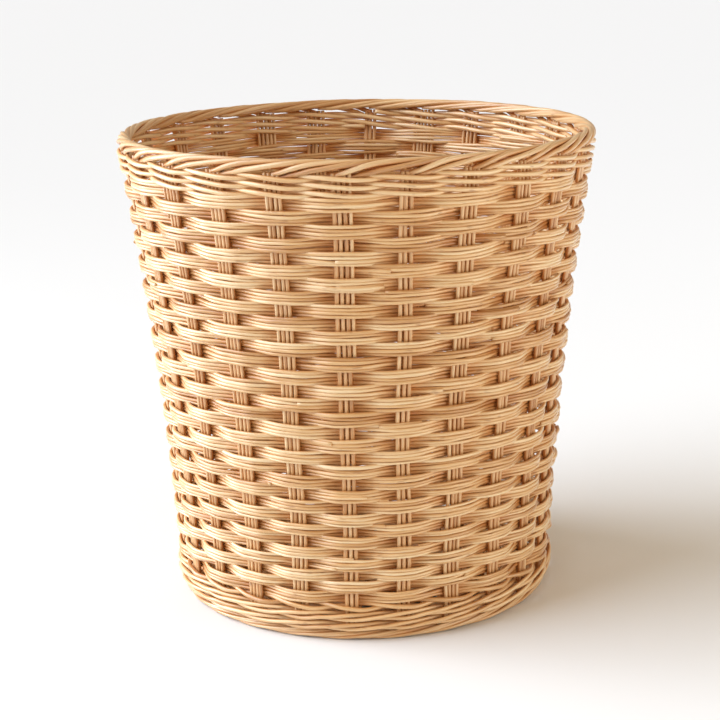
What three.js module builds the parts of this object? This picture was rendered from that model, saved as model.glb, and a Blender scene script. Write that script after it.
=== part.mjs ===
// Round woven wastebasket in natural rattan, open at the top.
// Units are millimetres. The origin is the centre of the foot circle on the floor, +Z is up.
// Twenty-four stakes, each a flat bundle of round reeds, cross the base in two layers of six
// and turn up the wall. Rows of a wide weaver band pass over one stake and under the next.
import * as THREE from 'three';

// Overall form.
const HEIGHT = 300;
const WALL_RADIUS_AT_FLOOR = 119.7;
const WALL_FLARE_LINEAR = 0.0363;
const WALL_FLARE_SQUARE = 0.0002022;

// Stakes.
const STAKE_COUNT = 24;
const FIRST_STAKE_DEG = 11;
const STAKE_WIDTH = 9;
const STAKE_THICKNESS = 2;
const STAKE_TOP = 292.4;
const WALL_STATIONS = 5;
const BEND_RADIUS = 4.5;
const BEND_TOP = 8.5;

// Centre of the base, where two layers of bundles cross.
const LAYER_COUNT = 2;
const CENTRE_PITCH = 9.6;
const LAYER_GAP = 0.3;

// The base is slightly domed: radius and height of the spoke centreline.
const DOME = [
  [44, 12],
  [75, 10.4],
  [100, 6.8],
];

// Base weave.
const BASE_ROUNDS = 6;
const BASE_ROUND_PITCH = 10.8;
const BASE_ROUND_WIDTH = 10;
const BASE_ROUND_FIRST_RADIUS = 49.2;
const BASE_PAIRED_ROUNDS = 2;

// Side weave.
const ROW_COUNT = 32;
const ROW_FIRST_HEIGHT = 28.5;
const ROW_PITCH = 7.94;
const ROW_SETTLE = 4.4;
const SETTLED_ROWS = 20;
const ROW_CLEARANCE = 0.54;
const BAND_THICKNESS = 2;
const BAND_OUT = 4.2;
const BAND_IN = 2.7;

// Two-strand twining below the border and above the base wale.
const TWINE_THICKNESS = 2.5;
const TWINE_HEIGHT = 2;
const TWINE_OUT = 2.85;
const TWINE_IN = 2.6;
const TWINE_CROSS = 1.18;
const TWINE_PITCH = 4.7;
const TOP_TWINE_HEIGHT = 281;
const TOP_TWINE_TURNS = 3;
const LOWER_TWINE_HEIGHT = 22.3;

// Three-rod wale around the base.
const WALE_RODS = 3;
const WALE_THICKNESS = 2.2;
const WALE_HEIGHT = 1.9;
const WALE_OUT = 4.25;
const WALE_IN = 2.8;
const WALE_RISE = 2.2;
const WALE_PITCH = 6.6;
const WALE_FIRST_HEIGHT = 9.85;
const WALE_STEPS = 45;

// Both spiral weaves step up to their next turn over a few stakes at the back.
const STEP_STAKE = 6;
const STEP_START = 22;
const TWINE_STEP_LENGTH = 2;
const WALE_STEP_LENGTH = 3;

// Rolled rim border and foot border.
const BORDER_RADIUS = 147;
const BORDER_HALF_WIDTH = 4.55;
const BORDER_HALF_HEIGHT = 3.25;
const BORDER_LOBE = 0.45;
const BORDER_STATIONS_PER_STAKE = 3;
const BORDER_SIDES = 8;
const FOOT_SECTION = [
  [114.4, 0],
  [119.8, 0],
  [121.9, 1.5],
  [122.5, 3.6],
  [122.1, 5.6],
  [121.3, 5.4],
  [119.3, 3.3],
  [114.4, 2],
];
const FOOT_LOBE = 0.3;

const STAKE_ANGLE = (2 * Math.PI) / STAKE_COUNT;
const FIRST_STAKE = THREE.MathUtils.degToRad(FIRST_STAKE_DEG);
const BUNDLE_COUNT = STAKE_COUNT / 2;
const BUNDLES_PER_LAYER = BUNDLE_COUNT / LAYER_COUNT;

const basket = new THREE.Group();
basket.name = 'woven_wastebasket';

const stakeCane = new THREE.MeshStandardMaterial({ color: 0xc79a5c, roughness: 0.55, metalness: 0 });
const weaverCane = new THREE.MeshStandardMaterial({ color: 0xd9b27a, roughness: 0.5, metalness: 0 });
const waleCane = new THREE.MeshStandardMaterial({ color: 0xcfa368, roughness: 0.5, metalness: 0 });
const borderCane = new THREE.MeshStandardMaterial({ color: 0xd3a970, roughness: 0.5, metalness: 0 });
const baseCane = new THREE.MeshStandardMaterial({ color: 0xc9a066, roughness: 0.6, metalness: 0 });

// Piecewise straight line through [input, output] pairs.
function alongLine(pairs, input) {
  let i = 1;
  while (i < pairs.length - 1 && input > pairs[i][0]) {
    i += 1;
  }
  const [x0, y0] = pairs[i - 1];
  const [x1, y1] = pairs[i];
  return y0 + ((y1 - y0) * (input - x0)) / (x1 - x0);
}

// The wall flares a little faster towards the rim.
function flaredRadius(z) {
  return WALL_RADIUS_AT_FLOOR + WALL_FLARE_LINEAR * z + WALL_FLARE_SQUARE * z * z;
}

const WALL_LINE = [];
for (let i = 0; i <= WALL_STATIONS; i += 1) {
  const z = BEND_TOP + ((STAKE_TOP - BEND_TOP) * i) / WALL_STATIONS;
  WALL_LINE.push([z, flaredRadius(z)]);
}

// Radius of the stake centreline at a height on the wall.
function wallRadius(z) {
  return alongLine(WALL_LINE, z);
}

const WALL_FOOT_RADIUS = WALL_LINE[0][1];
const BEND_CENTRE_RADIUS = WALL_FOOT_RADIUS - BEND_RADIUS;
const SPOKE_LINE = [...DOME, [BEND_CENTRE_RADIUS, BEND_TOP - BEND_RADIUS]];

// Height of the spoke centreline at a radius on the base.
function spokeHeight(radius) {
  return alongLine(SPOKE_LINE, radius);
}

function polar(radius, angle, z) {
  return new THREE.Vector3(radius * Math.cos(angle), radius * Math.sin(angle), z);
}

// Closed surface through a run of matching sections, as a ring or with both ends capped.
// Each section runs anticlockwise when seen from behind the direction of travel.
function loft(sections, isRing) {
  const sides = sections[0].length;
  const count = sections.length;
  const positions = [];
  const index = [];
  for (const section of sections) {
    for (const point of section) {
      positions.push(point.x, point.y, point.z);
    }
  }
  const spans = isRing ? count : count - 1;
  for (let i = 0; i < spans; i += 1) {
    const near = i * sides;
    const far = ((i + 1) % count) * sides;
    for (let j = 0; j < sides; j += 1) {
      const next = (j + 1) % sides;
      index.push(near + j, far + next, near + next);
      index.push(near + j, far + j, far + next);
    }
  }
  if (!isRing) {
    const last = (count - 1) * sides;
    for (let j = 1; j < sides - 1; j += 1) {
      index.push(0, j, j + 1);
      index.push(last, last + j + 1, last + j);
    }
  }
  const geometry = new THREE.BufferGeometry();
  geometry.setAttribute('position', new THREE.Float32BufferAttribute(positions, 3));
  geometry.setIndex(index);
  geometry.computeVertexNormals();
  return geometry;
}

// Upright rectangle in the radial plane, leaning with the wall.
function leaningSection(angle, z, offset, thickness, height) {
  const low = wallRadius(z - height / 2) + offset;
  const high = wallRadius(z + height / 2) + offset;
  return [
    polar(low - thickness / 2, angle, -height / 2),
    polar(low + thickness / 2, angle, -height / 2),
    polar(high + thickness / 2, angle, height / 2),
    polar(high - thickness / 2, angle, height / 2),
  ];
}

function addPart(name, geometry, material) {
  const mesh = new THREE.Mesh(geometry, material);
  mesh.name = name;
  basket.add(mesh);
  return mesh;
}

function twoDigits(n) {
  return String(n).padStart(2, '0');
}

// One arm of a stake bundle in its layer's own frame, from the rim down and in to the centre.
// The bundle lies along X at the centre and fans out by the given angle.
function armStations(fan, lateral, layerHeight) {
  const stations = [];
  const widthways = new THREE.Vector3(-Math.sin(fan), Math.cos(fan), 0);
  for (let i = WALL_STATIONS; i >= 0; i -= 1) {
    const [z, radius] = WALL_LINE[i];
    stations.push({ point: polar(radius, fan, z), widthways, mitre: 1 });
  }
  const halfBend = Math.PI / 4;
  const midRadius = BEND_CENTRE_RADIUS + BEND_RADIUS * Math.sin(halfBend);
  const midHeight = BEND_TOP - BEND_RADIUS * Math.cos(halfBend);
  stations.push({ point: polar(midRadius, fan, midHeight), widthways, mitre: 1 });
  for (let i = SPOKE_LINE.length - 1; i >= 0; i -= 1) {
    const [radius, z] = SPOKE_LINE[i];
    stations.push({ point: polar(radius, fan, z), widthways, mitre: 1 });
  }
  const kinkX = lateral / Math.tan(fan);
  const kink = new THREE.Vector3(-Math.sin(fan / 2), Math.cos(fan / 2), 0);
  stations.push({
    point: new THREE.Vector3(kinkX, lateral, layerHeight),
    widthways: kink,
    mitre: 1 / Math.cos(fan / 2),
  });
  return stations;
}

// Flat ribbon along the stations, mitred at every change of direction.
function ribbon(stations, width, thickness) {
  const sections = [];
  for (let i = 0; i < stations.length; i += 1) {
    const here = stations[i].point;
    const before = stations[Math.max(i - 1, 0)].point;
    const after = stations[Math.min(i + 1, stations.length - 1)].point;
    const incoming = here.clone().sub(before).normalize();
    const outgoing = after.clone().sub(here).normalize();
    if (i === 0) {
      incoming.copy(outgoing);
    }
    if (i === stations.length - 1) {
      outgoing.copy(incoming);
    }
    const travel = incoming.clone().add(outgoing).normalize();
    const across = stations[i].widthways.clone().multiplyScalar((width / 2) * stations[i].mitre);
    const normal = stations[i].widthways.clone().cross(travel).normalize();
    const slope = incoming.dot(normal);
    normal.multiplyScalar(thickness / 2 / Math.sqrt(1 - slope * slope));
    sections.push([
      here.clone().sub(across).sub(normal),
      here.clone().add(across).sub(normal),
      here.clone().add(across).add(normal),
      here.clone().sub(across).add(normal),
    ]);
  }
  return loft(sections, false);
}

// Twelve bundles run rim to rim: up one side, across the base and up the other side.
for (let n = 0; n < BUNDLE_COUNT; n += 1) {
  const layer = Math.floor(n / BUNDLES_PER_LAYER);
  const place = (n % BUNDLES_PER_LAYER) - (BUNDLES_PER_LAYER - 1) / 2;
  const fan = place * STAKE_ANGLE;
  const lateral = place * CENTRE_PITCH;
  const side = layer === 0 ? -1 : 1;
  const layerHeight = SPOKE_LINE[0][1] + (side * (STAKE_THICKNESS + LAYER_GAP)) / 2;
  const nearArm = armStations(fan, lateral, layerHeight);
  const farArm = nearArm.map((station) => ({
    point: station.point.clone().multiply(new THREE.Vector3(-1, 1, 1)),
    widthways: station.widthways.clone().multiply(new THREE.Vector3(-1, 1, 1)),
    mitre: station.mitre,
  }));
  farArm.reverse();
  const geometry = ribbon([...nearArm, ...farArm], STAKE_WIDTH, STAKE_THICKNESS);
  const stake = addPart(`stake_bundle_${twoDigits(n + 1)}`, geometry, stakeCane);
  const layerCentre = FIRST_STAKE + ((BUNDLES_PER_LAYER - 1) / 2) * STAKE_ANGLE;
  stake.rotation.z = layerCentre + (layer * Math.PI) / 2;
}

// Base weave: flat bands around the spokes. The inner rounds pass over and under pairs.
function baseRound(radius, spokesPerPass) {
  const passes = STAKE_COUNT / spokesPerPass;
  const spacing = radius * STAKE_ANGLE;
  const inner = radius - BASE_ROUND_WIDTH / 2;
  const clear = STAKE_THICKNESS / 2 + BAND_THICKNESS / 2 + 0.45;
  const sections = [];
  for (let pass = 0; pass < passes; pass += 1) {
    const side = pass % 2 === 0 ? 1 : -1;
    const first = pass * spokesPerPass;
    const last = first + spokesPerPass - 1;
    let edges = [first];
    let lift = clear / (1 - STAKE_WIDTH / (inner * STAKE_ANGLE));
    if (spokesPerPass > 1) {
      const reach = (STAKE_WIDTH / 2 + 0.7) / (inner * STAKE_ANGLE);
      edges = [first - reach, last + reach];
      lift = clear;
    }
    for (const edge of edges) {
      const angle = edge * STAKE_ANGLE;
      const innerHeight = spokeHeight(inner) + side * lift;
      const outerHeight = spokeHeight(inner + BASE_ROUND_WIDTH) + side * lift;
      sections.push([
        polar(inner, angle, innerHeight - BAND_THICKNESS / 2),
        polar(inner + BASE_ROUND_WIDTH, angle, outerHeight - BAND_THICKNESS / 2),
        polar(inner + BASE_ROUND_WIDTH, angle, outerHeight + BAND_THICKNESS / 2),
        polar(inner, angle, innerHeight + BAND_THICKNESS / 2),
      ]);
    }
  }
  return loft(sections, true);
}

for (let n = 0; n < BASE_ROUNDS; n += 1) {
  const radius = BASE_ROUND_FIRST_RADIUS + n * BASE_ROUND_PITCH;
  const spokesPerPass = n < BASE_PAIRED_ROUNDS ? 2 : 1;
  const round = addPart(`base_weave_round_${n + 1}`, baseRound(radius, spokesPerPass), baseCane);
  round.rotation.z = FIRST_STAKE + (n % 2) * spokesPerPass * STAKE_ANGLE;
}

// Height of a row's middle. The lower rows are beaten down closer together than the upper ones.
function rowHeight(n) {
  const settled = n > 0 && n < SETTLED_ROWS ? Math.sin((Math.PI * n) / SETTLED_ROWS) : 0;
  return ROW_FIRST_HEIGHT + n * ROW_PITCH - ROW_SETTLE * settled;
}

// Side weave: each row zigzags outside one stake and inside the next.
// Alternate rows are turned by one stake.
for (let n = 0; n < ROW_COUNT; n += 1) {
  const z = rowHeight(n);
  const bandHeight = Math.min(rowHeight(n + 1) - z, z - rowHeight(n - 1)) - ROW_CLEARANCE;
  const sections = [];
  for (let k = 0; k < STAKE_COUNT; k += 1) {
    const offset = k % 2 === 0 ? BAND_OUT : -BAND_IN;
    sections.push(leaningSection(k * STAKE_ANGLE, z, offset, BAND_THICKNESS, bandHeight));
  }
  const row = addPart(`side_weave_row_${twoDigits(n + 1)}`, loft(sections, true), weaverCane);
  row.position.z = z;
  row.rotation.z = FIRST_STAKE + (n % 2) * STAKE_ANGLE;
}

// Height gained by a spiral weave after a number of stakes: level rounds with a short step up.
function spiralRise(stakes, pitch, stepLength) {
  const turn = Math.floor((stakes + STAKE_COUNT - STEP_START) / STAKE_COUNT);
  const intoStep = stakes - (turn * STAKE_COUNT - STAKE_COUNT + STEP_START);
  const done = THREE.MathUtils.clamp(intoStep / stepLength, 0, 1);
  return (turn - 1 + (turn > 0 ? done : 1)) * pitch;
}

// One strand of a two-strand twining, crossing its partner midway between stakes.
function twiningStrand(strand, height, turns) {
  const sections = [];
  const stakes = turns === 1 ? STAKE_COUNT : (turns - 1) * STAKE_COUNT + STEP_START + 1;
  for (let k = 0; k < stakes; k += 1) {
    const isFront = (k + strand) % 2 === 0;
    const offset = isFront ? TWINE_OUT : -TWINE_IN;
    for (const quarter of [-0.25, 0.25]) {
      const place = k + quarter;
      const rises = isFront === quarter > 0;
      const rise = turns === 1 ? 0 : spiralRise(place, TWINE_PITCH, TWINE_STEP_LENGTH);
      const local = rise + (rises ? TWINE_CROSS : -TWINE_CROSS);
      const section = leaningSection(
        place * STAKE_ANGLE,
        height + local,
        offset,
        TWINE_THICKNESS,
        TWINE_HEIGHT
      );
      for (const point of section) {
        point.z += local;
      }
      sections.push(section);
    }
  }
  return loft(sections, turns === 1);
}

for (let strand = 0; strand < 2; strand += 1) {
  const letter = 'ab'[strand];
  const top = twiningStrand(strand, TOP_TWINE_HEIGHT, TOP_TWINE_TURNS);
  const topStrand = addPart(`top_twining_strand_${letter}`, top, waleCane);
  topStrand.position.z = TOP_TWINE_HEIGHT;
  topStrand.rotation.z = FIRST_STAKE + STEP_STAKE * STAKE_ANGLE;
  const lower = twiningStrand(strand, LOWER_TWINE_HEIGHT, 1);
  const lowerStrand = addPart(`lower_twining_strand_${letter}`, lower, waleCane);
  lowerStrand.position.z = LOWER_TWINE_HEIGHT;
  lowerStrand.rotation.z = FIRST_STAKE + STEP_STAKE * STAKE_ANGLE;
}

// Wale rods: in front of two stakes, rising, then behind one.
for (let rod = 0; rod < WALE_RODS; rod += 1) {
  const sections = [];
  for (let step = 0; step <= WALE_STEPS; step += 1) {
    const stake = rod - 1 + step;
    const stage = step % WALE_RODS;
    const offset = stage === 0 ? -WALE_IN : WALE_OUT;
    const local = stage === 0 ? 0 : (stage === 1 ? -1 : 1) * WALE_RISE;
    const rise = spiralRise(stake, WALE_PITCH, WALE_STEP_LENGTH) + local;
    const section = leaningSection(
      stake * STAKE_ANGLE,
      Math.max(WALE_FIRST_HEIGHT + rise, BEND_TOP + WALE_HEIGHT / 2),
      offset,
      WALE_THICKNESS,
      WALE_HEIGHT
    );
    for (const point of section) {
      point.z += rise;
    }
    sections.push(section);
  }
  const wale = addPart(`base_wale_rod_${'abc'[rod]}`, loft(sections, false), waleCane);
  wale.position.z = WALE_FIRST_HEIGHT;
  wale.rotation.z = FIRST_STAKE + STEP_STAKE * STAKE_ANGLE;
}

// Rolled rim border: a rope-like ring with one slanting lobe for each stake.
const borderSections = [];
const borderStations = STAKE_COUNT * BORDER_STATIONS_PER_STAKE;
for (let i = 0; i < borderStations; i += 1) {
  const angle = (i / borderStations) * 2 * Math.PI;
  const section = [];
  for (let j = 0; j < BORDER_SIDES; j += 1) {
    const turn = ((j + 0.5) / BORDER_SIDES) * 2 * Math.PI;
    const lobe = BORDER_LOBE * Math.cos(STAKE_COUNT * angle - turn);
    const radius = BORDER_RADIUS + (BORDER_HALF_WIDTH + lobe) * Math.cos(turn);
    section.push(polar(radius, angle, (BORDER_HALF_HEIGHT + lobe) * Math.sin(turn)));
  }
  borderSections.push(section);
}
const borderGeometry = loft(borderSections, true);
borderGeometry.computeBoundingBox();
const border = addPart('rim_border', borderGeometry, borderCane);
border.position.z = HEIGHT - borderGeometry.boundingBox.max.z;
border.rotation.z = FIRST_STAKE;

// Foot border: a low ring under the turn of the stakes, flat where it rests on the floor.
const footSections = [];
const footStations = STAKE_COUNT * 2;
for (let i = 0; i < footStations; i += 1) {
  const angle = (i / footStations) * 2 * Math.PI;
  const lobe = i % 2 === 0 ? FOOT_LOBE : 0;
  const section = FOOT_SECTION.map(([radius, z]) => {
    const isOuter = z > 1 && radius > BEND_CENTRE_RADIUS + BEND_RADIUS + 1;
    return polar(radius + (isOuter ? lobe : 0), angle, z);
  });
  footSections.push(section);
}
const foot = addPart('foot_border', loft(footSections, true), borderCane);
foot.rotation.z = FIRST_STAKE;

export default basket;
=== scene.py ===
"""Looks of a round woven rattan wastebasket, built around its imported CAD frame.

Every visible piece is made of single round reeds. Their routes are worked out in millimetres from the
same driving dimensions as the frame, and scaled to metres when a mesh is made. A place is a position
round the wall, counted in stake spacings. The front is at -Y, and every spiral steps up at the back.
"""

import math
import random

import bpy
import numpy as np
from mathutils import Matrix, Vector


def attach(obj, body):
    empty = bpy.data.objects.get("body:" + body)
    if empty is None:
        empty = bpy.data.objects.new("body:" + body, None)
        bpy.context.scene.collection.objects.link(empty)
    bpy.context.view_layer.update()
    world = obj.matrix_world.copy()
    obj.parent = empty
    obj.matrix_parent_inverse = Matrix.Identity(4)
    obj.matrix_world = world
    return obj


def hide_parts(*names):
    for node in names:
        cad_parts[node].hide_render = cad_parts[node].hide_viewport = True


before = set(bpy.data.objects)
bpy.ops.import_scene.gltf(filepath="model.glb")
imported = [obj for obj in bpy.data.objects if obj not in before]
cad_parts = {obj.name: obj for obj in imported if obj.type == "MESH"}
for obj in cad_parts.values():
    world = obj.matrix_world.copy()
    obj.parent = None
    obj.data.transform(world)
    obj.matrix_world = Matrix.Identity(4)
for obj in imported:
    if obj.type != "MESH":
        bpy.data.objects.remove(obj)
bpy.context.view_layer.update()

MM = 0.001
TURN = 2 * math.pi
LEVEL = np.array([1.0, 1.0, 0.0])  # drops a point's height
UP = (0.0, 0.0, 1.0)

# ---------------------------------------------------------------- driving dimensions, in millimetres
# A size ending in REED is the radius of one reed.
STAKES = 24
PITCH_ANGLE = TURN / STAKES
FIRST_STAKE = math.radians(11)
STEP_ORIGIN = FIRST_STAKE + 6 * PITCH_ANGLE  # spirals are counted from here
STEP_PLACE = 22  # a spiral's step up to the next round begins here
FINE_POINTS = 12  # points of a route in one place
COARSE_POINTS = 10
CORE_POINTS = 8

STAKE_REED = 1.27
STAKE_REEDS = 4  # in a full bundle; a thin one has one fewer
STAKE_SPACING = 2.68
FULL_SHARE = 0.72  # of the bundles
THIN_SPACING = 1.14  # a thin bundle's spacing and reeds, over a full one's
THIN_REED = 1.1
BASE_SQUEEZE = 0.87  # a bundle's width on the base, over its width up the wall
SQUEEZE_FROM = 8  # height where the wall's bundles begin to widen
SQUEEZE_OVER = 40
SWAY = 0.2  # sideways, of each of the waves in a stake's drift
SWAY_FROM = 12
SWAY_OVER = 40
SWAY_OWN = 0.5  # share of a reed's own drift, and of its bundle's
SWAY_WHOLE = 1.3
SWAY_EXTRA = 0.3  # share of an extra reed's own drift
STAKE_TOP = 293.0
BEND_RADIUS = 4.5  # a spoke turns up into the wall on this bend
BEND_TOP = 8.5
CENTRE_PITCH = 9.6  # between side-by-side bundles at the centre of the base
LAYER_LIFT = 1.27  # of the upper layer of bundles, and the drop of the lower one
CROSS_RADIUS = 44.0  # the bundles are parallel inside this and fan out beyond it
DOME = [(CROSS_RADIUS, 12.0), (75.0, 10.4), (100.0, 6.8)]  # radius and height of a spoke
WALL_POINTS = 72
BEND_POINTS = 7
SPOKE_STOPS = [108.0, 100.0, 92.0, 84.0, 75.0, 66.0, 55.0, 47.0, 43.0]  # a route's radii on the base
EXTRA_REED_GAP = 0.47  # an extra reed lies this many spacings beyond the bundle's edge
EXTRA_REED_FEET = [110.0, 185.0, 225.0, 245.0, 262.0]  # heights where one may end
EXTRA_REED_SHARE = 0.4  # of the bundles' edges
STAKE_SHADE = 0.12  # shade painted all over the stakes, which lie in the shadow behind the weave

ROWS = 32
ROW_FIRST = 28.5
ROW_PITCH = 7.94
ROW_SETTLE = 4.4  # how far the lower rows are beaten down
SETTLED_ROWS = 20
ROW_OVERLAP = 0.75  # places by which a reed laps its own start
BAND_REEDS = 4
BAND_REED = 1.12
BAND_OUT = 2.95  # swing of a band outside and inside the stakes
BAND_IN = 2.75
BAND_HOLD = 1.35  # how long a band stays at its full swing
ROW_LEAN = 0.12  # a band runs this much higher outside a stake and lower inside it
TOP_ROW_LEAN = -0.25
LEAN_ROWS = [23, 28]  # the lean changes between these rows
FAN_OUTSIDE = 0.262  # spacing of a band's reeds, in row pitches
FAN_INSIDE = 0.3
FAN_BETWEEN = 0.27
BAND_STAGGER = 0.36  # between the stakes, a band's reeds lie this far out and in by turns
BAND_CROWN = 0.3  # a band's middle reeds stand this much prouder than its edges
BAND_DRIFT = 0.07  # up and down, of the whole band
BAND_BULGE = 0.1  # out and in
MEANDER = 0.13  # up and down, shared by neighbouring rows
REED_DRIFT = 0.16  # up and down, of a single reed
TAIL_PLACES = 1.1  # length of a reed's end that leaves its band, and the ease into it
TAIL_EASE = 0.5
TAIL_OUT = 1.25  # the end lies this far out, or in, from the band
TAIL_IN = 1.3
TAIL_RISE = 0.75
TAILS_OUTSIDE = 0.4  # share of the ends

TWINE_REED = 1.55
TWINE_OUT = 3.0
TWINE_IN = 2.95
TWINE_HOLD = 1.3
TWINE_CROSS = 1.1  # a strand's rise and fall where two strands cross
TWINE_LIFT = -0.4  # outside a stake; the opposite inside it
TWINE_PINCH = 0.12  # a strand is this share thinner where two strands cross
TWINE_PITCH = 4.7
TWINE_ROUNDS = 3
TOP_TWINE_Z = 280.6
LOWER_TWINE_Z = 22.3

WALE_REED = 1.32
WALE_OUT = 4.0
WALE_IN = 2.9
WALE_PITCH = 6.6
WALE_FIRST_Z = 9.85
WALE_LENGTH = 45  # of a rod, in places
WALE_TUCK = 1.6  # the wale is drawn in by this towards the foot border, below WALE_TUCK_TOP
WALE_TUCK_TOP = 11.0
WALE_TUCK_OVER = 5.0

BORDER_RADIUS = 147.0
BORDER_Z = 296.1
BORDER_REED = 1.56
BORDER_HALF_WIDTH = 2.85
BORDER_HALF_HEIGHT = 2.6
BORDER_DROP = 1.3  # a strand starts this much lower, and recovers over BORDER_DROP_PLACES
BORDER_DROP_PLACES = 0.3
BORDER_SWELL = 0.18  # up to this share wider where a strand passes the top and bottom of the rope
BORDER_TUCK = 0.6  # share by which a strand's inner end closes in on the core
BORDER_TUCK_TURN = 205  # degrees round the rope where that begins
BORDER_TUCK_OVER = 30
BORDER_POINTS = 56
BORDER_FOOT_RADII = [146.6, 147.2]  # a strand comes up through these two points, out of the stakes
BORDER_FOOT_HEIGHTS = [286.5, 290.4]
CORE_REED = 1.05
CORE_HALF_WIDTH = 0.8
CORE_HALF_HEIGHT = 0.7
FOOT_RADIUS = 118.7
FOOT_Z = 3.35
FOOT_REED = 1.1
FOOT_HALF_WIDTH = 2.2
FOOT_HALF_HEIGHT = 1.95
FOOT_START = 0.15  # places from a stake to its first foot strand, and on to the second
FOOT_STAGGER = 0.22
FOOT_PLACES = 2.35  # length of a foot strand
FOOT_TURN = -118  # degrees round the section where one starts, and how far it rolls
FOOT_ROLL = 230
FOOT_FLATTER = 0.5  # the second strand rolls this much less high
FOOT_POINTS = 34

BASE_ROUNDS = 6
PAIRED_ROUNDS = 2  # the innermost rounds go over two spokes and under two
BASE_FIRST = 49.2
BASE_PITCH = 10.8
BASE_REEDS = 5
LAST_ROUND_EXTRA = 2  # more reeds in the last round, out to the foot
BASE_REED = 1.02
BASE_SPACING = 1.98
BASE_LIFT = 3.1  # of a round over a spoke, and over a pair of spokes
PAIRED_LIFT = 2.45


def flared_radius(z):
    """Radius of the stake centreline at height z."""
    return 119.7 + 0.0363 * z + 0.0002022 * z * z


BEND_CENTRE = float(flared_radius(BEND_TOP)) - BEND_RADIUS


def spoke_height(radius):
    """Height of the spoke centreline on the domed base."""
    line = DOME + [(BEND_CENTRE, BEND_TOP - BEND_RADIUS)]
    return np.interp(radius, [p[0] for p in line], [p[1] for p in line])


def cylinder_points(radius, angle, z):
    """Points from cylindrical coordinates, each given as an array or one number."""
    radius, angle, z = np.broadcast_arrays(radius, angle, z)
    return np.stack([radius * np.cos(angle), radius * np.sin(angle), z], axis=-1)


def smooth(x):
    """Eased step from 0 to 1."""
    x = np.clip(x, 0.0, 1.0)
    return x * x * (3 - 2 * x)


def row_height(n):
    """Height of a row's middle; the lower rows are beaten down closer together than the upper ones."""
    settled = math.sin(math.pi * n / SETTLED_ROWS) if 0 < n < SETTLED_ROWS else 0.0
    return ROW_FIRST + n * ROW_PITCH - ROW_SETTLE * settled


def weave_side(places, hold):
    """Runs from 1, outside one stake, to -1, inside the next; hold widens the flat over a stake."""
    corner = 0.96  # at 1 the wave would be a sharp zigzag
    slope = np.arcsin(corner * np.cos(math.pi * places)) / math.asin(corner)
    side = np.clip(hold * slope, -1, 1)
    return side * (1.25 - 0.25 * side**2)


def wander(rng, places, amount, slowest, fastest):
    """Irregular drift along a strand, from waves that repeat slowest to fastest times in a round."""
    waves = 6
    total = np.zeros(len(places))
    for _ in range(waves):
        per_round = rng.randint(slowest, fastest)
        total += math.sqrt(2 / waves) * np.sin(
            TURN * per_round * places / STAKES + rng.uniform(0, TURN)
        )
    return amount * total


# ---------------------------------------------------------------- reeds to meshes
# Depth of the shade painted into a reed's colour in its crevices: on its flanks, on its side away
# from the open air, and inside a rope.
FLANK_SHADE, FLANK_POWER = 0.7, 2.2
BEHIND_SHADE = 0.6
ROPE_SHADE, ROPE_POWER = 0.85, 0.8
# Each reed takes its grain from its own stretch of one long pattern.
GRAIN_LENGTH = 4000
GRAIN_WIDTH = 400


def reed_rings(points, reference, sides):
    """Unit directions out of a reed's surface, a ring of them at each point, and their turns."""
    travel = np.gradient(points, axis=0)
    travel /= np.linalg.norm(travel, axis=1)[:, None]
    reference = np.broadcast_to(np.asarray(reference, float), points.shape)
    across = reference - (reference * travel).sum(1)[:, None] * travel
    across /= np.linalg.norm(across, axis=1)[:, None]
    other = np.cross(travel, across)
    turn = np.linspace(0, TURN, sides, endpoint=False)
    ring = (
        across[:, None, :] * np.cos(turn)[None, :, None]
        + other[:, None, :] * np.sin(turn)[None, :, None]
    )
    return ring, turn


def crevice_shade(points, ring, facing, side):
    """How much shade is painted on each point of a reed's surface, by how far it lies in a crevice.

    A wall reed is open to the inside and the outside, and side says on which of the two it runs. A base
    reed is open above and below, and a border reed along facing.
    """
    if facing is not None:
        openness = (ring * facing[:, None, :]).sum(2)
        return ROPE_SHADE * np.maximum(0.5 - 0.5 * openness, 0) ** ROPE_POWER
    open_air = points * LEVEL
    open_air /= np.linalg.norm(open_air, axis=1)[:, None] + 1e-9
    on_base = np.hypot(points[:, 0], points[:, 1]) < BEND_CENTRE
    open_air[on_base] = UP
    openness = (ring * open_air[:, None, :]).sum(2)
    shade = FLANK_SHADE * np.maximum(1 - openness**2, 0) ** FLANK_POWER
    if side is not None:
        shade = shade + BEHIND_SHADE * np.clip(-side[:, None] * openness, 0, 1)
    return shade


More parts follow.
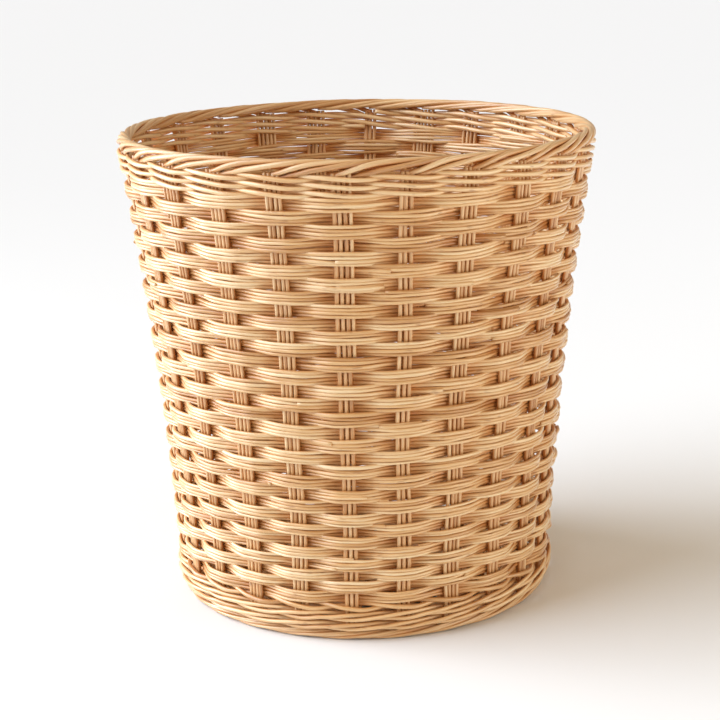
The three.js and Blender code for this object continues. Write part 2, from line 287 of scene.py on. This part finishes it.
class Reeds:
    """Round reeds gathered into one mesh, each with its own tint and grain coordinates.

    Shade is painted into each reed's crevices.
    """

    def __init__(self, seed, sides=8):
        self.rng = random.Random(seed)
        self.sides = sides
        self.verts = []
        self.faces = []
        self.grain = []
        self.tint = []
        self.painted_shade = []
        self.count = 0

    def add(self, points, radius, reference=None, tint=None, facing=None, side=None, tucked=0.0):
        """One open reed along points, with cut ends.

        reference points sideways from the reed, so that its rings don't twist; without one, it points
        away from the basket's axis. tucked is shade painted all over the reed.
        """
        points = np.asarray(points, float)
        n = len(points)
        radius = np.broadcast_to(np.asarray(radius, float), (n,))
        if reference is None:
            reference = points * LEVEL
        ring, turn = reed_rings(points, reference, self.sides)
        verts = points[:, None, :] + ring * radius[:, None, None]

        steps = np.linalg.norm(np.diff(points, axis=0), axis=1)
        along = np.concatenate([[0], np.cumsum(steps)])
        start = self.rng.uniform(0, GRAIN_LENGTH)
        aside = self.rng.uniform(0, GRAIN_WIDTH)
        grain = np.empty((n, self.sides, 3))
        grain[..., 0] = (along + start)[:, None]
        grain[..., 1] = radius[:, None] * np.cos(turn)[None, :] + aside
        grain[..., 2] = radius[:, None] * np.sin(turn)[None, :] + aside
        if tint is None:
            tint = self.rng.gauss(0.5, 0.16)
        # painted shade: darker where a crevice would lie in shadow, plus any shade painted all over
        painted_shade = np.clip(crevice_shade(points, ring, facing, side) + tucked, 0, 1)

        i, j = np.meshgrid(np.arange(n - 1), np.arange(self.sides), indexing="ij")
        k = (j + 1) % self.sides
        first = self.count
        quads = np.stack(
            [
                first + i * self.sides + j,
                first + i * self.sides + k,
                first + (i + 1) * self.sides + k,
                first + (i + 1) * self.sides + j,
            ],
            axis=-1,
        ).reshape(-1, 4)
        last = first + (n - 1) * self.sides
        self.faces.extend(quads.tolist())
        self.faces.append(list(range(first + self.sides - 1, first - 1, -1)))
        self.faces.append(list(range(last, last + self.sides)))
        self.verts.append(verts.reshape(-1, 3))
        self.grain.append(grain.reshape(-1, 3))
        self.tint.append(np.full(n * self.sides, min(max(tint, 0.0), 1.0)))
        self.painted_shade.append(painted_shade.reshape(-1))
        self.count += n * self.sides

    def piece(self, name, nodes, slot, material):
        """Makes the Blender object, rides it on the basket and puts it in place of its CAD nodes."""
        mesh = bpy.data.meshes.new(name)
        mesh.from_pydata((np.concatenate(self.verts) * MM).tolist(), [], self.faces)
        mesh.attributes.new("grain", "FLOAT_VECTOR", "POINT")
        mesh.attributes["grain"].data.foreach_set(
            "vector", np.concatenate(self.grain).astype(np.float32).ravel()
        )
        for key, values in (("tint", self.tint), ("painted_shade", self.painted_shade)):
            mesh.attributes.new(key, "FLOAT", "POINT")
            mesh.attributes[key].data.foreach_set(
                "value", np.concatenate(values).astype(np.float32)
            )
        is_flank = [len(face) == 4 for face in self.faces]
        mesh.polygons.foreach_set("use_smooth", is_flank)
        mesh.materials.append(material)
        mesh.update()
        piece = bpy.data.objects.new(name, mesh)
        bpy.context.scene.collection.objects.link(piece)
        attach(piece, "root")
        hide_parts(*nodes)


# ---------------------------------------------------------------- materials
MIX_A, MIX_B, MIX_RESULT = 6, 7, 2  # a Mix node's sockets for colours
STAIN = (0.33, 0.13, 0.045, 1)
PAINTED_SHADE_TINT = (0.84, 0.46, 0.13, 1)


def rattan(name, dark, middle, light, roughness):
    """Peeled rattan reed: long fibres, a tone of its own for each reed, and a few darker marks.

    Shade is painted into its colour in the crevices, and its gloss is taken away there too.
    """
    material = bpy.data.materials.new(name)
    material.use_nodes = True
    nodes = material.node_tree.nodes
    links = material.node_tree.links
    shader = nodes["Principled BSDF"]

    def add(kind, **settings):
        node = nodes.new(kind)
        for key, value in settings.items():
            setattr(node, key, value)
        return node

    def scaled_noise(along, across, detail):
        """Noise with its number of cells per millimetre along the reed and across it."""
        stretch = add("ShaderNodeVectorMath", operation="MULTIPLY")
        links.new(grain.outputs["Vector"], stretch.inputs[0])
        stretch.inputs[1].default_value = (along, across, across)
        noise = add("ShaderNodeTexNoise")
        noise.inputs["Scale"].default_value = 1.0
        noise.inputs["Detail"].default_value = detail
        links.new(stretch.outputs["Vector"], noise.inputs["Vector"])
        return noise.outputs["Fac"]

    def maths(operation, a, b, clamp=False):
        node = add("ShaderNodeMath", operation=operation, use_clamp=clamp)
        for socket, value in zip(node.inputs, (a, b)):
            if isinstance(value, (int, float)):
                socket.default_value = value
            else:
                links.new(value, socket)
        return node.outputs["Value"]

    def centred(noise, strength):
        return maths("MULTIPLY", maths("SUBTRACT", noise, 0.5), strength)

    grain = add("ShaderNodeAttribute", attribute_name="grain")
    tint = add("ShaderNodeAttribute", attribute_name="tint")
    painted_shade = add("ShaderNodeAttribute", attribute_name="painted_shade")
    fibres = scaled_noise(along=0.05, across=2.2, detail=3.0)
    fine_fibres = scaled_noise(along=0.16, across=7.0, detail=2.0)
    patches = scaled_noise(along=0.022, across=0.25, detail=2.0)
    marks = scaled_noise(along=0.12, across=0.5, detail=1.0)

    tone = maths("ADD", tint.outputs["Fac"], centred(fibres, 0.9))
    tone = maths("ADD", tone, centred(patches, 0.9), clamp=True)
    ramp = add("ShaderNodeValToRGB")
    darkest, lightest = ramp.color_ramp.elements
    darkest.position = 0.1
    darkest.color = (*dark, 1)
    lightest.position = 0.9
    lightest.color = (*light, 1)
    ramp.color_ramp.elements.new(0.45).color = (*middle, 1)
    links.new(tone, ramp.inputs["Fac"])

    marked = add("ShaderNodeMapRange")
    marked.inputs["From Min"].default_value = 0.66
    marked.inputs["From Max"].default_value = 0.78
    marked.inputs["To Max"].default_value = 0.55
    links.new(marks, marked.inputs["Value"])
    stain = add("ShaderNodeMix", data_type="RGBA")
    stain.inputs[MIX_B].default_value = STAIN
    links.new(marked.outputs["Result"], stain.inputs["Factor"])
    links.new(ramp.outputs["Color"], stain.inputs[MIX_A])
    # Painted shade: the colour is multiplied towards a deep orange-brown where the crevice mask is
    # high.
    crevice = add("ShaderNodeMix", data_type="RGBA", blend_type="MULTIPLY")
    crevice.inputs[MIX_B].default_value = PAINTED_SHADE_TINT
    links.new(painted_shade.outputs["Fac"], crevice.inputs["Factor"])
    links.new(stain.outputs[MIX_RESULT], crevice.inputs[MIX_A])
    links.new(crevice.outputs[MIX_RESULT], shader.inputs["Base Color"])

    rough = add("ShaderNodeMapRange")
    rough.inputs["To Min"].default_value = roughness - 0.12
    rough.inputs["To Max"].default_value = roughness + 0.14
    links.new(fine_fibres, rough.inputs["Value"])
    links.new(rough.outputs["Result"], shader.inputs["Roughness"])
    shader.inputs["Specular IOR Level"].default_value = 0.6
    # Painted shade also takes the gloss away in the crevices.
    gloss = maths("SUBTRACT", 1.0, painted_shade.outputs["Fac"], clamp=True)
    links.new(gloss, shader.inputs["Coat Weight"])
    shader.inputs["Coat Roughness"].default_value = 0.38

    height = maths("ADD", fibres, maths("MULTIPLY", fine_fibres, 0.5))
    bump = add("ShaderNodeBump")
    bump.inputs["Strength"].default_value = 0.35
    bump.inputs["Distance"].default_value = 0.00018
    links.new(height, bump.inputs["Height"])
    links.new(bump.outputs["Normal"], shader.inputs["Normal"])
    return material


STAKE_CANE = rattan(
    "rattan_stake_reed",
    dark=(0.51, 0.255, 0.08),
    middle=(0.71, 0.43, 0.185),
    light=(0.84, 0.63, 0.36),
    roughness=0.38,
)
WEAVER_CANE = rattan(
    "rattan_weaver_reed",
    dark=(0.54, 0.275, 0.087),
    middle=(0.73, 0.452, 0.195),
    light=(0.85, 0.655, 0.385),
    roughness=0.36,
)
WALE_CANE = rattan(
    "rattan_wale_reed",
    dark=(0.54, 0.275, 0.087),
    middle=(0.74, 0.46, 0.20),
    light=(0.87, 0.665, 0.39),
    roughness=0.34,
)
# A darker copy of the weaving's rattan: painted shade for the rim border, used for the foot border too.
BORDER_CANE = rattan(
    "rattan_border_reed",
    dark=(0.48, 0.235, 0.075),
    middle=(0.66, 0.395, 0.168),
    light=(0.79, 0.575, 0.32),
    roughness=0.34,
)
BASE_CANE = rattan(
    "rattan_base_reed",
    dark=(0.48, 0.25, 0.09),
    middle=(0.66, 0.39, 0.17),
    light=(0.78, 0.55, 0.30),
    roughness=0.46,
)


# ---------------------------------------------------------------- stakes
def stake_bundles():
    """Twelve bundles in two crossing layers, each from the rim down one wall and up the other."""
    per_layer = STAKES // 4
    middle = (per_layer - 1) / 2
    for n in range(2 * per_layer):
        layer, index = divmod(n, per_layer)
        place = index - middle
        fan = place * PITCH_ANGLE
        lateral = place * CENTRE_PITCH
        lift = LAYER_LIFT if layer else -LAYER_LIFT
        angle = FIRST_STAKE + middle * PITCH_ANGLE + layer * math.pi / 2
        turned = np.array(Matrix.Rotation(angle, 3, "Z"))

        reeds = Reeds(f"stake {n}")
        rng = reeds.rng
        whole_sways = [make_sway(rng), make_sway(rng)]
        full = rng.random() < FULL_SHARE
        count = STAKE_REEDS if full else STAKE_REEDS - 1
        spacing = STAKE_SPACING * rng.uniform(0.98, 1.03) * (1.0 if full else THIN_SPACING)
        thickness = STAKE_REED * (1.0 if full else THIN_REED)
        for slot in range(count):
            offset = (slot - (count - 1) / 2) * spacing
            arms = []
            for side, whole in zip((1, -1), whole_sways):
                arm = arm_route(fan, lateral, lift, offset, make_sway(rng), whole)
                arm[:, 0] *= side
                arms.append(arm)
            route = np.vstack([arms[0], arms[1][::-1]]) @ turned.T
            radius = thickness * rng.uniform(0.92, 1.02)
            reference = stake_reference(route, len(arms[0]))
            reeds.add(route, radius, reference, tint=rng.gauss(0.5, 0.18), tucked=STAKE_SHADE)
        for side, whole in zip((1, -1), whole_sways):
            for edge in (-1, 1):
                if rng.random() >= 1 - EXTRA_REED_SHARE:
                    beside = edge * (count / 2 + EXTRA_REED_GAP) * spacing
                    add_extra_reed(reeds, fan, side, beside, whole, turned)
        name = f"stake_bundle_{n + 1:02d}"
        reeds.piece(f"{name}_reeds", [name], "rattan_stake", STAKE_CANE)


def make_sway(rng):
    """A slow sideways drift down the wall, as a function of height; it dies out near the bend."""
    waves = [(rng.uniform(0, 6.3), rng.uniform(0.012, 0.075)) for _ in range(5)]

    def sway(z):
        total = sum(np.sin(phase + rate * z) for phase, rate in waves)
        return SWAY * total * smooth((z - SWAY_FROM) / SWAY_OVER)

    return sway


def arm_route(fan, lateral, lift, offset, own, whole):
    """One reed of a bundle, from the rim down the wall and in to the centre, in its layer's frame.

    The reed lies offset from the bundle's middle, and drifts with its own and the whole bundle's sway.
    """
    outward = np.array([math.cos(fan), math.sin(fan)])
    aside = np.array([-math.sin(fan), math.cos(fan)])
    wall_z = np.linspace(STAKE_TOP, BEND_TOP, WALL_POINTS)
    bend = np.linspace(0, math.pi / 2, BEND_POINTS)[1:]
    spoke = np.array(SPOKE_STOPS)
    radius = np.concatenate(
        [flared_radius(wall_z), BEND_CENTRE + BEND_RADIUS * np.cos(bend), spoke]
    )
    height = np.concatenate(
        [wall_z, BEND_TOP - BEND_RADIUS * np.sin(bend), spoke_height(spoke)]
    )
    squeeze = np.concatenate(
        [smooth((wall_z - SQUEEZE_FROM) / SQUEEZE_OVER), np.zeros(len(bend) + len(spoke))]
    )
    shift = offset * (BASE_SQUEEZE + (1 - BASE_SQUEEZE) * squeeze)
    shift[: len(wall_z)] += SWAY_OWN * own(wall_z) + SWAY_WHOLE * whole(wall_z)
    flat = radius[:, None] * outward + shift[:, None] * aside
    route = np.column_stack([flat, height])

    offset = offset * BASE_SQUEEZE
    half = fan / 2
    mitre = offset / math.cos(half)
    kink_x = lateral / math.tan(fan)
    centre_z = spoke_height(CROSS_RADIUS) + lift
    kink = [kink_x - math.sin(half) * mitre, lateral + math.cos(half) * mitre, centre_z]
    inside = [0.8 * kink_x, lateral + offset, centre_z]  # from here the arm runs parallel to its bundle
    return np.vstack([route, kink, inside])


def stake_reference(route, far_arm):
    """Level and square to the stake, on the same side of it from rim to rim.

    far_arm is the index where the route's second arm starts.
    """
    sideways = np.column_stack([-route[:, 1], route[:, 0], np.zeros(len(route))])
    sideways[far_arm:] *= -1
    return sideways


def add_extra_reed(reeds, fan, side, beside, whole, turned):
    """A short reed slipped in beside the bundle near the rim."""
    rng = reeds.rng
    foot = rng.choice(EXTRA_REED_FEET) + rng.uniform(-8, 8)
    z = np.linspace(STAKE_TOP, foot, 30)
    own = make_sway(rng)
    offset = beside + SWAY_EXTRA * own(z) + SWAY_WHOLE * whole(z)
    radius = flared_radius(z)
    route = np.column_stack(
        [
            side * (radius * math.cos(fan) - offset * math.sin(fan)),
            radius * math.sin(fan) + offset * math.cos(fan),
            z,
        ]
    )
    route = route @ turned.T
    reference = stake_reference(route, len(route))
    reeds.add(route, STAKE_REED * rng.uniform(0.88, 0.98), reference, tucked=STAKE_SHADE)


# ---------------------------------------------------------------- side weave
def side_rows():
    """Bands of four reeds; the meander is shared, so that neighbouring rows rise and fall together."""
    weave = random.Random("weave")
    meander = [
        (weave.randint(1, 8), weave.uniform(0, 6.3), weave.uniform(-0.3, 0.3)) for _ in range(7)
    ]
    for n in range(ROWS):
        reeds = Reeds(f"row {n}")
        rng = reeds.rng
        row_seed = rng.random()
        widths = np.array([rng.uniform(0.82, 1.22) for _ in range(BAND_REEDS)])
        widths *= BAND_REEDS / widths.sum()
        centres = np.cumsum(widths) - widths / 2 - BAND_REEDS / 2
        row_tint = rng.gauss(0.5, 0.06)
        for slot in range(BAND_REEDS):
            band_reed(reeds, n, slot, row_seed, widths[slot], centres[slot], row_tint, meander)
        name = f"side_weave_row_{n + 1:02d}"
        reeds.piece(f"{name}_reeds", [name], "rattan_weaver", WEAVER_CANE)


def band_reed(reeds, n, slot, row_seed, width, centre, row_tint, meander):
    """One reed of row n; width is its share of the band, and centre its place across it."""
    rng = reeds.rng
    middle = row_height(n)
    pitch = min(row_height(n + 1) - middle, middle - row_height(n - 1))
    lean = float(np.interp(n, LEAN_ROWS, [ROW_LEAN, TOP_ROW_LEAN]))
    calm = float(smooth((n + 1) / 4) * smooth((ROWS - n) / 5))  # level beside the wale and the rim

    begin = rng.uniform(0, STAKES)
    places = np.linspace(begin, begin + STAKES + ROW_OVERLAP, (STAKES + 1) * FINE_POINTS)
    side = weave_side(places + n, BAND_HOLD)
    shared = random.Random(row_seed)
    drift = wander(shared, places, BAND_DRIFT, slowest=2, fastest=16)
    bulge = wander(shared, places, BAND_BULGE, slowest=3, fastest=20)
    for per_round, phase, per_row in meander:
        wave = np.sin(TURN * per_round * places / STAKES + phase + per_row * n)
        drift += MEANDER * calm * wave
    spread = np.interp(side, [-1, 0, 1], [FAN_INSIDE, FAN_BETWEEN, FAN_OUTSIDE]) * pitch
    own = wander(rng, places, REED_DRIFT, slowest=4, fastest=24)
    z = middle + centre * spread + drift + own + lean * side

    swing = np.where(side > 0, BAND_OUT, BAND_IN) * side
    stagger = (BAND_STAGGER if slot % 2 else -BAND_STAGGER) * (1 - np.abs(side))
    edge = (BAND_REEDS - 1) / 2
    crown = BAND_CROWN * (1 - abs(slot - edge) / edge) * side
    loose = wander(rng, places, amount=0.08, slowest=4, fastest=26)
    offset = swing + stagger + crown + bulge + loose

    tail = smooth((places - places[-1] + TAIL_PLACES) / TAIL_EASE)
    offset += tail * (TAIL_OUT if rng.random() < TAILS_OUTSIDE else -TAIL_IN)
    z += tail * rng.choice([-TAIL_RISE, TAIL_RISE])

    points = cylinder_points(flared_radius(z) + offset, FIRST_STAKE + places * PITCH_ANGLE, z)
    thickness = BAND_REED * (pitch / ROW_PITCH) ** 0.8 * width * rng.uniform(0.97, 1.07)
    thickness = thickness + wander(rng, places, amount=0.015, slowest=5, fastest=30)
    thickness *= np.where(side < 0, 1 - 0.08 * side, 1.0)
    reeds.add(points, thickness, tint=row_tint + rng.gauss(0, 0.17), side=side)


# ---------------------------------------------------------------- twining and wale
def spiral_rise(places, pitch, step_length):
    """Level rounds, with a step up to the next over step_length places."""
    turns = np.floor((places + STAKES - STEP_PLACE) / STAKES)
    into = places - ((turns - 1) * STAKES + STEP_PLACE)
    done = np.where(turns > 0, smooth(into / step_length), 1.0)
    return (turns - 1 + done) * pitch


def twinings():
    """Two strands that cross between the stakes: three rounds under the rim, and one above the wale."""
    top = np.linspace(-0.9, TWINE_ROUNDS * STAKES - 1.1, TWINE_ROUNDS * STAKES * FINE_POINTS)
    lower = np.linspace(0, STAKES + 0.6, (STAKES + 1) * FINE_POINTS)
    for strand, letter in enumerate("ab"):
        twining_strand("top", letter, strand, TOP_TWINE_Z, top, TWINE_PITCH)
        twining_strand("lower", letter, strand, LOWER_TWINE_Z, lower, 0)


def twining_strand(level, letter, strand, z0, places, pitch):
    """One of two strands, outside every other stake and inside those between; pitch 0 is one round."""
    reeds = Reeds(f"{level} twining {letter}")
    rng = reeds.rng
    phase = math.pi * (places + strand)
    side = weave_side(places + strand, TWINE_HOLD)
    cross = np.sin(phase) * (1.15 - 0.15 * np.sin(phase) ** 2)
    z = z0 - TWINE_CROSS * cross + TWINE_LIFT * side
    z = z + wander(rng, places, amount=0.1, slowest=4, fastest=24)
    if pitch:
        z = z + spiral_rise(places, pitch, step_length=2)
    offset = np.where(side > 0, TWINE_OUT, TWINE_IN) * side
    radius = flared_radius(z) + offset + wander(rng, places, amount=0.1, slowest=4, fastest=24)
    points = cylinder_points(radius, STEP_ORIGIN + places * PITCH_ANGLE, z)
    squeeze = 1 - TWINE_PINCH * (1 - side * side) - 0.03 * side
    reeds.add(points, TWINE_REED * squeeze, tint=rng.gauss(0.55, 0.12), side=side)
    name = f"{level}_twining_strand_{letter}"
    reeds.piece(f"{name}_reed", [name], "rattan_wale", WALE_CANE)


def wale():
    """Three rods, two rounds each: a rod rises in front of two stakes and dives behind the third."""
    step = 0.5  # places between the values below, which cover three stakes
    radial = np.array([-WALE_IN, 1.3, WALE_OUT - 0.4, WALE_OUT, WALE_OUT - 0.3, 0.9, -WALE_IN])
    rise = np.array([0.0, -1.5, -1.75, -0.1, 1.6, 1.5, 0.0])
    for rod, letter in enumerate("abc"):
        reeds = Reeds(f"wale {letter}")
        rng = reeds.rng
        places = np.linspace(rod - 1, rod - 1 + WALE_LENGTH, WALE_LENGTH * COARSE_POINTS)
        stage = np.mod(places - rod + 1, 3.0)
        offset = smooth_cycle(radial, step, stage)
        z = WALE_FIRST_Z + smooth_cycle(rise, step, stage)
        z = z + spiral_rise(places, WALE_PITCH, step_length=3)
        z += wander(rng, places, amount=0.2, slowest=6, fastest=40)
        tuck = -WALE_TUCK * smooth((WALE_TUCK_TOP - z) / WALE_TUCK_OVER)
        radius = flared_radius(z) + offset + tuck
        points = cylinder_points(radius, STEP_ORIGIN + places * PITCH_ANGLE, z)
        thickness = WALE_REED * (1 + wander(rng, places, amount=0.03, slowest=5, fastest=30))
        side = np.clip(offset / WALE_IN, -1, 1)
        reeds.add(points, thickness, tint=rng.gauss(0.52, 0.14), side=side)
        name = f"base_wale_rod_{letter}"
        reeds.piece(f"{name}_reed", [name], "rattan_wale", WALE_CANE)


def smooth_cycle(values, step, where):
    """Periodic cubic curve through values that are step apart; the last value repeats the first."""
    period = len(values) - 1
    slot = np.floor(where / step).astype(int) % period
    t = where / step - np.floor(where / step)
    p = [values[(slot + k) % period] for k in (-1, 0, 1, 2)]
    return 0.5 * (
        2 * p[1]
        + (p[2] - p[0]) * t
        + (2 * p[0] - 5 * p[1] + 4 * p[2] - p[3]) * t**2
        + (3 * p[1] - p[0] - 3 * p[2] + p[3]) * t**3
    )


# ---------------------------------------------------------------- borders
# How the two strands that leave each stake roll over the rim: places from their stake, and the turn
# round the rope's section in degrees, where 0 is outward and 90 is up.
UPPER_ROLL = [
    (-0.01, -95), (0.08, -66), (0.25, -25), (0.4, 14), (0.6, 50), (0.8, 70),
    (1.0, 84), (1.3, 104), (1.6, 130), (2.0, 165), (2.5, 205), (3.0, 240),
]
LOWER_ROLL = [
    (0.3, -85), (0.4, -66), (0.6, -38), (0.8, -10), (1.0, 18), (1.2, 42),
    (1.4, 66), (1.6, 90), (2.0, 130), (2.5, 180), (3.0, 235),
]


def rolled_strand(centre_radius, centre_z, half_width, half_height, place, turn):
    """Points on a rope's oval section; turn 0 is outward, and a quarter turn is up."""
    radius = centre_radius + half_width * np.cos(turn)
    z = centre_z + half_height * np.sin(turn)
    return cylinder_points(radius, FIRST_STAKE + place * PITCH_ANGLE, z)


def rope_facing(turn, place):
    """Direction away from a rope's core at each turn and place."""
    angle = FIRST_STAKE + place * PITCH_ANGLE
    outward = np.cos(turn)
    return np.stack([outward * np.cos(angle), outward * np.sin(angle), np.sin(turn)], axis=-1)


def rim_border():
    """Two strands from each stake, rolled over a core of three reeds that fills the rope."""
    reeds = Reeds("rim border")
    for stake in range(STAKES):
        border_strand(reeds, stake, UPPER_ROLL, foot_place=-0.05)
        border_strand(reeds, stake, LOWER_ROLL, foot_place=0.1)
    for core in range(3):
        places = np.linspace(0, STAKES + 0.4, (STAKES + 1) * CORE_POINTS)
        turn = TURN * (core / 3 + places / 3)
        route = rolled_strand(
            BORDER_RADIUS, BORDER_Z, CORE_HALF_WIDTH, CORE_HALF_HEIGHT, places, turn
        )
        # The core reeds take the darkest tone and full painted shade, standing in for the deep shadow
        # inside the rope.
        reeds.add(route, CORE_REED, tint=0.1, tucked=1.0)
    reeds.piece("rim_border_reeds", ["rim_border"], "rattan_border", BORDER_CANE)


def border_strand(reeds, stake, roll, foot_place):
    """One strand: up from its foot beside the stake, round the rope, and tucked in at its inner end."""
    rng = reeds.rng
    shift = rng.uniform(-0.03, 0.03)
    place = np.linspace(roll[0][0], roll[-1][0], BORDER_POINTS)
    turn = np.radians(np.interp(place, [p[0] for p in roll], [p[1] for p in roll]))
    turn += wander(rng, place, amount=0.05, slowest=2, fastest=10)
    place = place + stake + shift
    swell = 1 + BORDER_SWELL * np.sin(turn) ** 2 * rng.uniform(0.3, 1.0)
    swell = swell + wander(rng, place, amount=0.02, slowest=3, fastest=16)
    swell *= 1 - BORDER_TUCK * smooth((np.degrees(turn) - BORDER_TUCK_TURN) / BORDER_TUCK_OVER)
    drop = BORDER_DROP * (1 - smooth((place - place[0]) / BORDER_DROP_PLACES))
    half_width = BORDER_HALF_WIDTH * swell
    half_height = BORDER_HALF_HEIGHT * swell
    route = rolled_strand(BORDER_RADIUS, BORDER_Z - drop, half_width, half_height, place, turn)

    start = stake + shift + foot_place
    foot = cylinder_points(
        np.array(BORDER_FOOT_RADII),
        FIRST_STAKE + np.array([start, start]) * PITCH_ANGLE,
        np.array(BORDER_FOOT_HEIGHTS),
    )
    route = soften(np.vstack([foot, route]))
    facing = np.vstack([rope_facing(turn[:1], place[:1])] * 2 + [rope_facing(turn, place)])
    foot_reference = rope_facing(turn[:1] + 1.2, place[:1])
    reference = np.vstack([foot_reference] * 2 + [rope_facing(turn + 0.3, place)])
    thickness = BORDER_REED * rng.uniform(0.94, 1.05)
    reeds.add(route, thickness, reference, tint=rng.gauss(0.5, 0.14), facing=facing)


def soften(points):
    """Rounds a route's corners, keeping its ends."""
    inner = 0.25 * points[:-2] + 0.5 * points[1:-1] + 0.25 * points[2:]
    return np.vstack([points[:1], inner, points[-1:]])


def foot_border():
    """Two strands from each stake, rolled from under the foot to its top."""
    reeds = Reeds("foot border")
    rng = reeds.rng
    for stake in range(STAKES):
        for m in range(2):
            t = np.linspace(0, 1, FOOT_POINTS)
            start = stake + FOOT_START + FOOT_STAGGER * m
            place = start + FOOT_PLACES * t + rng.uniform(-0.04, 0.04)
            turn = np.radians(FOOT_TURN + FOOT_ROLL * t)
            swell = 1 + wander(rng, place, amount=0.03, slowest=8, fastest=30)
            half_width = FOOT_HALF_WIDTH * swell
            half_height = (FOOT_HALF_HEIGHT - FOOT_FLATTER * m) * swell
            route = rolled_strand(FOOT_RADIUS, FOOT_Z, half_width, half_height, place, turn)
            thickness = FOOT_REED * rng.uniform(0.94, 1.04)
            reference = rope_facing(turn + 0.3, place)
            reeds.add(route, thickness, reference, facing=rope_facing(turn, place))
    reeds.piece("foot_border_reeds", ["foot_border"], "rattan_border", BORDER_CANE)


# ---------------------------------------------------------------- base
def base_rounds():
    """Rounds of flat band over and under the spokes, from the cross out to the foot."""
    for n in range(BASE_ROUNDS):
        reeds = Reeds(f"base round {n}", sides=7)
        rng = reeds.rng
        paired = n < PAIRED_ROUNDS
        count = BASE_REEDS + (LAST_ROUND_EXTRA if n == BASE_ROUNDS - 1 else 0)
        for slot in range(count):
            middle = BASE_FIRST + n * BASE_PITCH + (slot - (BASE_REEDS - 1) / 2) * BASE_SPACING
            begin = rng.uniform(0, STAKES)
            places = np.linspace(begin, begin + STAKES + 0.5, (STAKES + 1) * COARSE_POINTS)
            if paired:
                wave = np.cos(math.pi * ((places - 0.5) / 2 + n))
                lift = PAIRED_LIFT * np.sin(math.pi / 2 * wave)
            else:
                lift = BASE_LIFT * np.cos(math.pi * (places + n))
            radius = middle + wander(rng, places, amount=0.12, slowest=5, fastest=40)
            z = spoke_height(radius) + lift
            points = cylinder_points(radius, FIRST_STAKE + places * PITCH_ANGLE, z)
            reeds.add(points, BASE_REED * rng.uniform(0.93, 1.05), reference=UP)
        name = f"base_weave_round_{n + 1}"
        reeds.piece(f"{name}_reeds", [name], "rattan_base", BASE_CANE)


# ---------------------------------------------------------------- studio, in metres
FLOOR_REACH = 14.0
PAPER = (0.851, 0.862, 0.862, 1)
WORLD_COLOUR = (1.02, 0.86, 0.66, 1)
WORLD_STRENGTH = 0.47
KEY_DIRECTION = (-1.0, -0.08, 0.62)
KEY_COLOUR = (0.85, 0.93, 1.06)
KEY_STRENGTH = 4.35
KEY_SPREAD = math.radians(64)
LIT_POINT = (0, 0, 0.15)
CAMERA_PLACE = (-0.0005, -1.1145, 0.4425)
CAMERA_DOWN = math.radians(14.9)
CAMERA_ROLL = math.radians(-1.15)
CAMERA_LENS = 87.5
SENSOR_WIDTH = 36


def studio():
    """Pale floor and world, a wide key from the left, and two soft fills."""
    pale_floor()

    world = bpy.data.worlds.new("studio")
    world.use_nodes = True
    background = world.node_tree.nodes["Background"]
    background.inputs["Color"].default_value = WORLD_COLOUR
    background.inputs["Strength"].default_value = WORLD_STRENGTH
    bpy.context.scene.world = world

    sun = bpy.data.lights.new("key", "SUN")
    sun.energy = KEY_STRENGTH
    sun.color = KEY_COLOUR
    sun.angle = KEY_SPREAD
    key = bpy.data.objects.new("key", sun)
    bpy.context.scene.collection.objects.link(key)
    key.rotation_euler = Vector(KEY_DIRECTION).to_track_quat("Z", "Y").to_euler()

    soft_light("fill", (1.6, -0.8, 0.42), size=1.0, watts=12, colour=(1.0, 0.91, 0.77))
    soft_light("side", (-1.3, 0.25, 0.2), size=0.36, watts=7, colour=(0.93, 0.96, 1.0))


def pale_floor():
    mesh = bpy.data.meshes.new("floor")
    r = FLOOR_REACH
    mesh.from_pydata([(-r, -r, 0), (r, -r, 0), (r, r, 0), (-r, r, 0)], [], [(0, 1, 2, 3)])
    paper = bpy.data.materials.new("pale_paper")
    paper.use_nodes = True
    shader = paper.node_tree.nodes["Principled BSDF"]
    shader.inputs["Base Color"].default_value = PAPER
    shader.inputs["Roughness"].default_value = 0.9
    shader.inputs["Specular IOR Level"].default_value = 0.1
    mesh.materials.append(paper)
    floor = bpy.data.objects.new("floor", mesh)
    bpy.context.scene.collection.objects.link(floor)


def soft_light(name, place, size, watts, colour):
    """A square light aimed at the middle of the basket."""
    data = bpy.data.lights.new(name, "AREA")
    data.size = size
    data.energy = watts
    data.color = colour
    light = bpy.data.objects.new(name, data)
    bpy.context.scene.collection.objects.link(light)
    light.location = place
    aim = light.location - Vector(LIT_POINT)
    light.rotation_euler = aim.to_track_quat("Z", "Y").to_euler()


def camera():
    """Long lens, a little above the rim and looking down, with a slight roll."""
    data = bpy.data.cameras.new("camera")
    data.sensor_width = SENSOR_WIDTH
    data.lens = CAMERA_LENS
    data.clip_end = 60
    view = bpy.data.objects.new("camera", data)
    bpy.context.scene.collection.objects.link(view)
    view.matrix_world = (
        Matrix.Translation(CAMERA_PLACE)
        @ Matrix.Rotation(math.pi / 2 - CAMERA_DOWN, 4, "X")
        @ Matrix.Rotation(CAMERA_ROLL, 4, "Z")
    )
    bpy.context.scene.camera = view


stake_bundles()
side_rows()
twinings()
wale()
rim_border()
foot_border()
base_rounds()
studio()
camera()
bpy.context.scene.view_settings.view_transform = "Standard"
